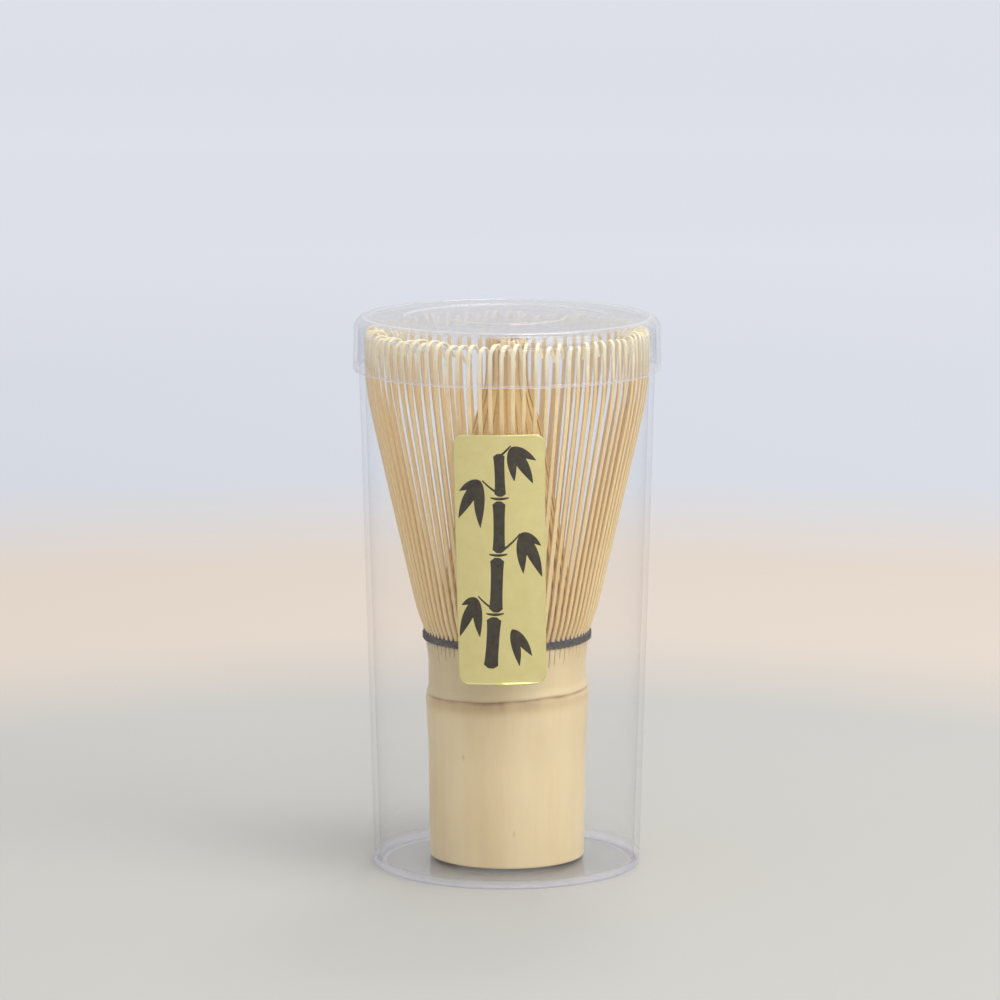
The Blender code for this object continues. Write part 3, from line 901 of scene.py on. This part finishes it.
# Section of a tine, a flat strip with eased corners: (half widths across, half depths out, how much inner
# tan and painted shade)
SECTION = (
    (-1.0, 0.55, 0.9), (-0.7, 1.0, 0.1), (0.72, 1.0, 0.0), (1.0, 0.55, 0.25),
    (1.0, -0.6, 0.5), (0.78, -1.0, 0.7), (-0.78, -1.0, 0.8), (-1.0, -0.6, 1.0),
)
# Leans are (distance along the tine in mm, degrees from upright)
OUTER_HOOK_RADIUS = 1.25 * MM
OUTER_LENGTH = 62.3 * MM
OUTER_LEANS = (
    (0.0, 2.0), (1.2, 12.0), (2.6, 24.0), (4.2, 22.0), (7.0, 15.0), (12.0, 13.0),
    (45.0, 12.6), (50.0, 9.5), (55.0, 4.0), (60.0, -1.0),
)
OUTER_LAST_LEAN = -6.0  # where the hook starts
INNER_LENGTH = 61.8 * MM
INNER_LEANS = (
    (0.0, -1.0), (3.0, -7.5), (8.0, -10.0), (41.0, -10.2), (44.0, -16.5), (49.0, -17.0),
    (53.0, -6.0), (56.0, 0.0),
)


def centre_line(start_radius, start_height, leans, length, step):
    """Follow a tine along its length, with its leans blended a little from one to the next."""
    places = np.linspace(0.0, length, int(round(length / step)) + 1)
    distances = [distance * MM for distance, _ in leans]
    angles = np.radians(np.interp(places, distances, [lean for _, lean in leans]))
    padded = np.concatenate([angles[:1], angles, angles[-1:]])
    angles = np.convolve(padded, [0.25, 0.5, 0.25], "valid")
    middle = (angles[1:] + angles[:-1]) / 2.0
    along = np.diff(places)
    radius = start_radius + np.concatenate([[0.0], np.cumsum(np.sin(middle) * along)])
    height = start_height + np.concatenate([[0.0], np.cumsum(np.cos(middle) * along)])
    return places, radius, height, angles


def tine(points, faces, shades, azimuth, line, widths, depths, drift, tone, tip_highlight):
    """One pared strip: drift is how far it slides sideways, and the last argument how much a painted
    highlight pales it along its tip.
    """
    places, radius, height, lean = line
    first = len(points)
    outwards = np.array([cos(azimuth), sin(azimuth)])
    sideways = np.array([-sin(azimuth), cos(azimuth)])
    slope = np.gradient(drift, places)
    for index in range(len(places)):
        for across, out, inner_tone_and_shade in SECTION:
            away = out * depths[index] / 2.0
            side = across * widths[index] / 2.0
            xy = outwards * (radius[index] + away * cos(lean[index])) + sideways * (drift[index] + side)
            z = height[index] - away * sin(lean[index]) - slope[index] * side * cos(lean[index])
            points.append((xy[0], xy[1], z))
            shades.append((tone, inner_tone_and_shade, tip_highlight[index]))
    faces.extend(tube_faces(len(places), len(SECTION), first))


def build_tine_group(name, node, tines, material):
    """The tines of one group, joined in one mesh: tines is a list of keyword sets for tine()."""
    points, faces, shades = [], [], []
    for one in tines:
        tine(points, faces, shades, **one)
    mesh = mesh_of(name, points, faces)
    for layer_name, values in zip(("tone", "inner_tone_and_shade", "tip_highlight"), zip(*shades)):
        mark_points(mesh, layer_name, values)
    as_piece(name, mesh, node, node, material)


def outer_tine(index, chance):
    """Straight flare, upright near the top, then a tight hook inwards that also leans sideways, with
    a short straight end. bare is the length up to the hook, and bent the length up to its end."""
    hook_turn = chance.uniform(120.0, 185.0)
    hook_radius = OUTER_HOOK_RADIUS * chance.uniform(0.8, 1.2)
    bare = OUTER_LENGTH + chance.uniform(-0.5, 0.3) * MM
    bent = bare + hook_radius * radians(hook_turn)
    length = bent + chance.uniform(1.4, 3.0) * MM
    flare = chance.normal(0.0, 0.12)
    leans = [(place, lean + flare * min(place / 20.0, 1.0)) for place, lean in OUTER_LEANS]
    leans.append((bare / MM, OUTER_LAST_LEAN))
    leans.append((bent / MM, OUTER_LAST_LEAN - hook_turn))
    leans.append((length / MM, OUTER_LAST_LEAN - hook_turn))
    line = centre_line(OUTER_ROOT_RADIUS, TINE_ROOT_HEIGHT, leans, length, 0.4 * MM)
    places = line[0]
    share = places / length
    in_hook = smooth(places, bare - 1.5 * MM, length)
    widths = np.interp(share, [0.0, 0.25, 0.6, 0.9, 1.0], [0.9, 0.93, 0.83, 0.77, 0.6]) * MM
    widths = widths * chance.uniform(0.94, 1.07)
    depths = np.interp(share, [0.0, 0.12, 0.3, 0.7, 0.9, 1.0], [0.9, 0.68, 0.55, 0.5, 0.46, 0.32]) * MM
    side = chance.normal(0.0, 0.11)
    drift = (side * share ** 1.5 + 1.9 * in_hook * chance.uniform(0.6, 1.3)) * MM
    return dict(
        azimuth=tau * (index + 0.5) / OUTER_TINES,
        line=line,
        widths=widths,
        depths=depths,
        drift=drift,
        tone=chance.uniform(0.1, 1.0),
        # painted highlight paling the last 9 mm below the hook
        tip_highlight=smooth(places, bare - 9.0 * MM, bare),
    )


def inner_tine(index, chance):
    """Leans in to the bundle, lies there half over its neighbour, and ends in a small crook."""
    length = INNER_LENGTH + chance.uniform(-1.0, 0.6) * MM
    crook = chance.choice([-80.0, -45.0, 25.0]) * chance.uniform(0.7, 1.1)
    sway = chance.normal(0.0, 0.03) - 0.5 * (index % 2)
    leans = [(place, lean + sway * min(place / 20.0, 1.0)) for place, lean in INNER_LEANS]
    leans.append((length / MM - 2.2, 0.0))
    leans.append((length / MM, crook))
    line = centre_line(INNER_ROOT_RADIUS, TINE_ROOT_HEIGHT, leans, length, 0.6 * MM)
    share = line[0] / length
    widths = np.interp(share, [0.0, 0.2, 0.68, 0.8, 0.9, 1.0], [0.98, 1.02, 1.04, 0.88, 0.78, 0.6]) * MM
    depths = np.interp(share, [0.0, 0.15, 0.5, 1.0], [0.95, 0.6, 0.36, 0.24]) * MM
    curl = chance.normal(0.0, 0.1) * smooth(line[0], length - 9.0 * MM, length)
    drift = (chance.normal(0.0, 0.05) * share ** 2 + curl) * MM
    return dict(
        azimuth=tau * (index + 0.5) / INNER_TINES,
        line=line,
        widths=widths * chance.uniform(0.97, 1.04),
        depths=depths,
        drift=drift,
        tone=chance.uniform(0.0, 1.0),
        # a fainter painted highlight on the inner tips
        tip_highlight=0.35 * smooth(line[0], length - 4.0 * MM, length),
    )


def build_tines(outer_material, inner_material):
    chance = np.random.RandomState(21)
    kinds = (
        ("outer", OUTER_GROUPS, outer_tine, outer_material),
        ("inner", INNER_GROUPS, inner_tine, inner_material),
    )
    for ring, groups, make, material in kinds:
        for group in range(groups):
            first = group * TINES_IN_GROUP
            tines = [make(index, chance) for index in range(first, first + TINES_IN_GROUP)]
            number = f"{group + 1:02d}"
            build_tine_group(f"{ring}_strips_{number}", f"{ring}_tines_{number}", tines, material)


# ---------------- thread


UP = np.array([0.0, 0.0, 1.0])
THREAD_MIDDLE = (thread_low.z + thread_high.z) / 2.0
THREAD_TURNS = 3
THREAD_PITCH = 0.46 * MM
THREAD_RADIUS = 16.5 * MM
STRAND_RADIUS = 0.17 * MM
STRAND_OFFSET = 0.14 * MM
TWIST_LENGTH = 1.1 * MM
FUZZ_HAIRS = 900
ANY_DIRECTION = (0.31, -0.52, 0.79)  # not along any fibre


def build_thread(material):
    """Two strands twisted together, wound round the tines' roots and dipping between them, with a
    dark spike of thread in each gap, partly the thread passing inwards and partly painted shade between
    the tines' roots, and loose cotton hairs."""
    per_turn = 800
    steps = per_turn * THREAD_TURNS
    turns = np.linspace(0.0, THREAD_TURNS, steps + 1)
    angle = tau * turns + radians(60.0)
    rise = THREAD_MIDDLE + THREAD_PITCH * (turns - THREAD_TURNS / 2.0)
    dip = np.cos(OUTER_TINES * angle)
    radius = THREAD_RADIUS - 0.09 * MM * (1.0 + dip)
    rise = rise + 0.07 * MM * dip + 0.05 * MM * np.sin(3.0 * angle)
    path = about_z(radius, angle, rise)
    points, faces = [], []
    twist = tau * turns * (tau * THREAD_RADIUS / TWIST_LENGTH)
    for strand in range(2):
        add_strand(points, faces, path, angle, twist + pi * strand)
    chance = np.random.RandomState(5)
    # dark spikes: partly painted shade between the tines' roots
    for gap in range(OUTER_TINES):
        add_spike(points, faces, tau * gap / OUTER_TINES, chance)
    for _ in range(FUZZ_HAIRS):
        add_hair(points, faces, chance)
    mesh = mesh_of("thread_winding", points, faces)
    as_piece("thread_winding", mesh, "whisk", "binding_thread", material)


def add_rod(points, faces, path, one, other, reach, sides):
    """A round rod along a path. Each point has its two directions across, one and other, and its reach."""
    first = len(points)
    for index, centre in enumerate(path):
        for side in range(sides):
            a = tau * side / sides
            points.append(tuple(centre + reach[index] * (one[index] * cos(a) + other[index] * sin(a))))
    faces.extend(tube_faces(len(path), sides, first))


def add_fibre(points, faces, path, thickness, sides):
    """A thin fibre along a path, thinning to its end."""
    ahead = np.gradient(path, axis=0)
    ahead /= np.linalg.norm(ahead, axis=1)[:, None]
    one = np.cross(ahead, ANY_DIRECTION)
    one /= np.linalg.norm(one, axis=1)[:, None]
    reach = thickness * np.linspace(1.0, 0.4, len(path))
    add_rod(points, faces, path, one, np.cross(ahead, one), reach, sides)


def add_spike(points, faces, azimuth, chance):
    """The thread where it passes inwards between two tines: a short dark spike above the winding that also
    paints the shade in the gap.
    """
    tall = chance.uniform(0.6, 1.3) * MM
    share = np.linspace(0.0, 1.0, 6)
    height = THREAD_MIDDLE + (THREAD_TURNS * THREAD_PITCH / 2.0 - 0.2 * MM) + tall * share
    radius = THREAD_RADIUS - 0.05 * MM - 0.3 * MM * share ** 2
    angle = azimuth + radians(chance.uniform(-0.25, 0.25)) * share
    path = about_z(radius, angle, height)
    add_fibre(points, faces, path, 0.17 * MM, 6)


def add_hair(points, faces, chance):
    """One loose cotton hair, standing off the winding up or down."""
    angle = chance.uniform(0.0, tau)
    start = chance.uniform(-0.5, 0.5) * THREAD_TURNS * THREAD_PITCH
    away = np.array([cos(angle), sin(angle), 0.0])
    along = np.array([-sin(angle), cos(angle), 0.0])
    heading = along * chance.uniform(-0.5, 0.5)
    heading = heading + UP * chance.choice([-1.0, 1.0]) * chance.uniform(0.3, 1.0)
    share = np.linspace(0.0, 1.0, 5)[:, None]
    length = chance.uniform(0.3, 0.8) * MM
    root = away * (THREAD_RADIUS + 0.2 * MM) + UP * (THREAD_MIDDLE + start)
    bow = away * chance.uniform(0.02, 0.2) * MM + along * chance.uniform(-0.12, 0.12) * MM
    path = root + heading * length * share + bow * np.sin(pi * share)
    add_fibre(points, faces, path, 0.034 * MM, 3)


def add_strand(points, faces, path, angle, twist):
    """A round strand running at an offset round a path that circles Z."""
    outwards = about_z(1.0, angle, np.zeros_like(angle))
    centre = path + STRAND_OFFSET * (outwards * np.cos(twist)[:, None] + UP * np.sin(twist)[:, None])
    steps = len(path)
    add_rod(points, faces, centre, outwards, [UP] * steps, [STRAND_RADIUS] * steps, 6)


# ---------------- stage


def stage_material():
    """A plain matt floor: warm grey by the object, paling to bluish white further off."""
    n = Nodes("floor")
    level = n.position((1.0, 1.0, 0.0))
    away = n.add("ShaderNodeVectorMath", {0: level}, operation="LENGTH").outputs["Value"]
    warm = (0.535, 0.464, 0.396)
    reach = 3.0
    # Distance from the object in metres, and the tone there
    stops = [
        (0.165, (0.417, 0.406, 0.376)),
        (0.25, warm),
        (0.36, warm),
        (0.50, (0.49, 0.505, 0.535)),
        (0.75, (0.55, 0.565, 0.60)),
        (1.1, (0.68, 0.69, 0.72)),
        (1.6, (0.78, 0.79, 0.825)),
        (reach, (0.835, 0.845, 0.88)),
    ]
    colour = n.ramp(n.spread(away, 0.0, reach), [(place / reach, tone) for place, tone in stops])
    n.principled(Base_Color=colour, Roughness=0.9)
    n.shader.inputs["Specular IOR Level"].default_value = 0.2
    return n.material


def build_stage():
    bm = bmesh.new()
    bmesh.ops.create_circle(bm, cap_ends=True, radius=6.0, segments=96)
    floor = placed("floor", finished(bm, "floor"))
    floor.data.materials.append(stage_material())


def area_light(name, place, target, size, energy, colour):
    """A soft rectangular light at a place, turned to a target: metres and watts."""
    data = bpy.data.lights.new(name, "AREA")
    data.shape = "RECTANGLE"
    data.size, data.size_y = size
    data.energy = energy
    data.color = colour
    light = placed(name, data)
    light.location = place
    light.rotation_euler = (Vector(target) - Vector(place)).to_track_quat("-Z", "Y").to_euler()


def build_world():
    """A studio sky, greyer low down and lighter high up."""
    world = bpy.data.worlds.new("studio")
    bpy.context.scene.world = world
    world.use_nodes = True
    tree = world.node_tree
    direction = tree.nodes.new("ShaderNodeTexCoord").outputs["Generated"]
    parts = tree.nodes.new("ShaderNodeSeparateXYZ")
    tree.links.new(direction, parts.inputs["Vector"])
    sky = tree.nodes.new("ShaderNodeValToRGB")
    tree.links.new(parts.outputs["Z"], sky.inputs["Fac"])
    stops = ((0.12, (0.69, 0.705, 0.745)), (0.42, (0.87, 0.89, 0.935)))
    for element, (place, tone) in zip(sky.color_ramp.elements, stops):
        element.position = place
        element.color = (*tone, 1.0)
    tree.links.new(sky.outputs["Color"], tree.nodes["Background"].inputs["Color"])


def build_lights():
    middle = (0.0, 0.0, 0.06)
    lid = (0.0, 0.0, 0.11)
    area_light("key", (0.72, -0.5, 0.7), middle, (0.8, 0.8), 5.15, (1.0, 0.97, 0.94))
    area_light("front", (0.15, -1.1, 1.0), middle, (0.5, 0.9), 4.5, (1.0, 0.98, 0.95))
    area_light("window", (0.125, 0.62, 0.95), lid, (0.24, 0.3), 2.4, (0.97, 0.98, 1.0))
    area_light("top", (0.19, -0.1, 1.1), lid, (0.34, 0.4), 2.6, (0.99, 0.99, 1.0))


CAMERA_PLACE = (-1.4 * MM, -1044.2 * MM, 238.8 * MM)
CAMERA_DOWN = radians(9.02)
CAMERA_LENS = 191.7
CAMERA_SENSOR = 36.0


def build_camera():
    data = bpy.data.cameras.new("camera")
    data.sensor_width = CAMERA_SENSOR
    data.lens = CAMERA_LENS
    data.clip_start = 0.01
    data.clip_end = 30.0
    camera = placed("camera", data)
    camera.location = CAMERA_PLACE
    camera.rotation_euler = (pi / 2.0 - CAMERA_DOWN, 0.0, 0.0)
    bpy.context.scene.camera = camera


build_camera()
build_world()
build_lights()
build_stage()
bpy.context.scene.view_settings.view_transform = "Standard"

clear = clear_plastic()
build_cup(clear)
build_lid(clear)
build_label(gold_foil(), ink())
build_handle(bamboo_skin(), bamboo_end_grain())
build_tines(
    bamboo_strip("outer_tine_bamboo", (0.89, 0.70, 0.385), (0.76, 0.545, 0.26), (0.53, 0.36, 0.165)),
    bamboo_strip("inner_tine_bamboo", (0.80, 0.55, 0.185), (0.66, 0.42, 0.12), (0.36, 0.19, 0.045)),
)
build_thread(cotton())
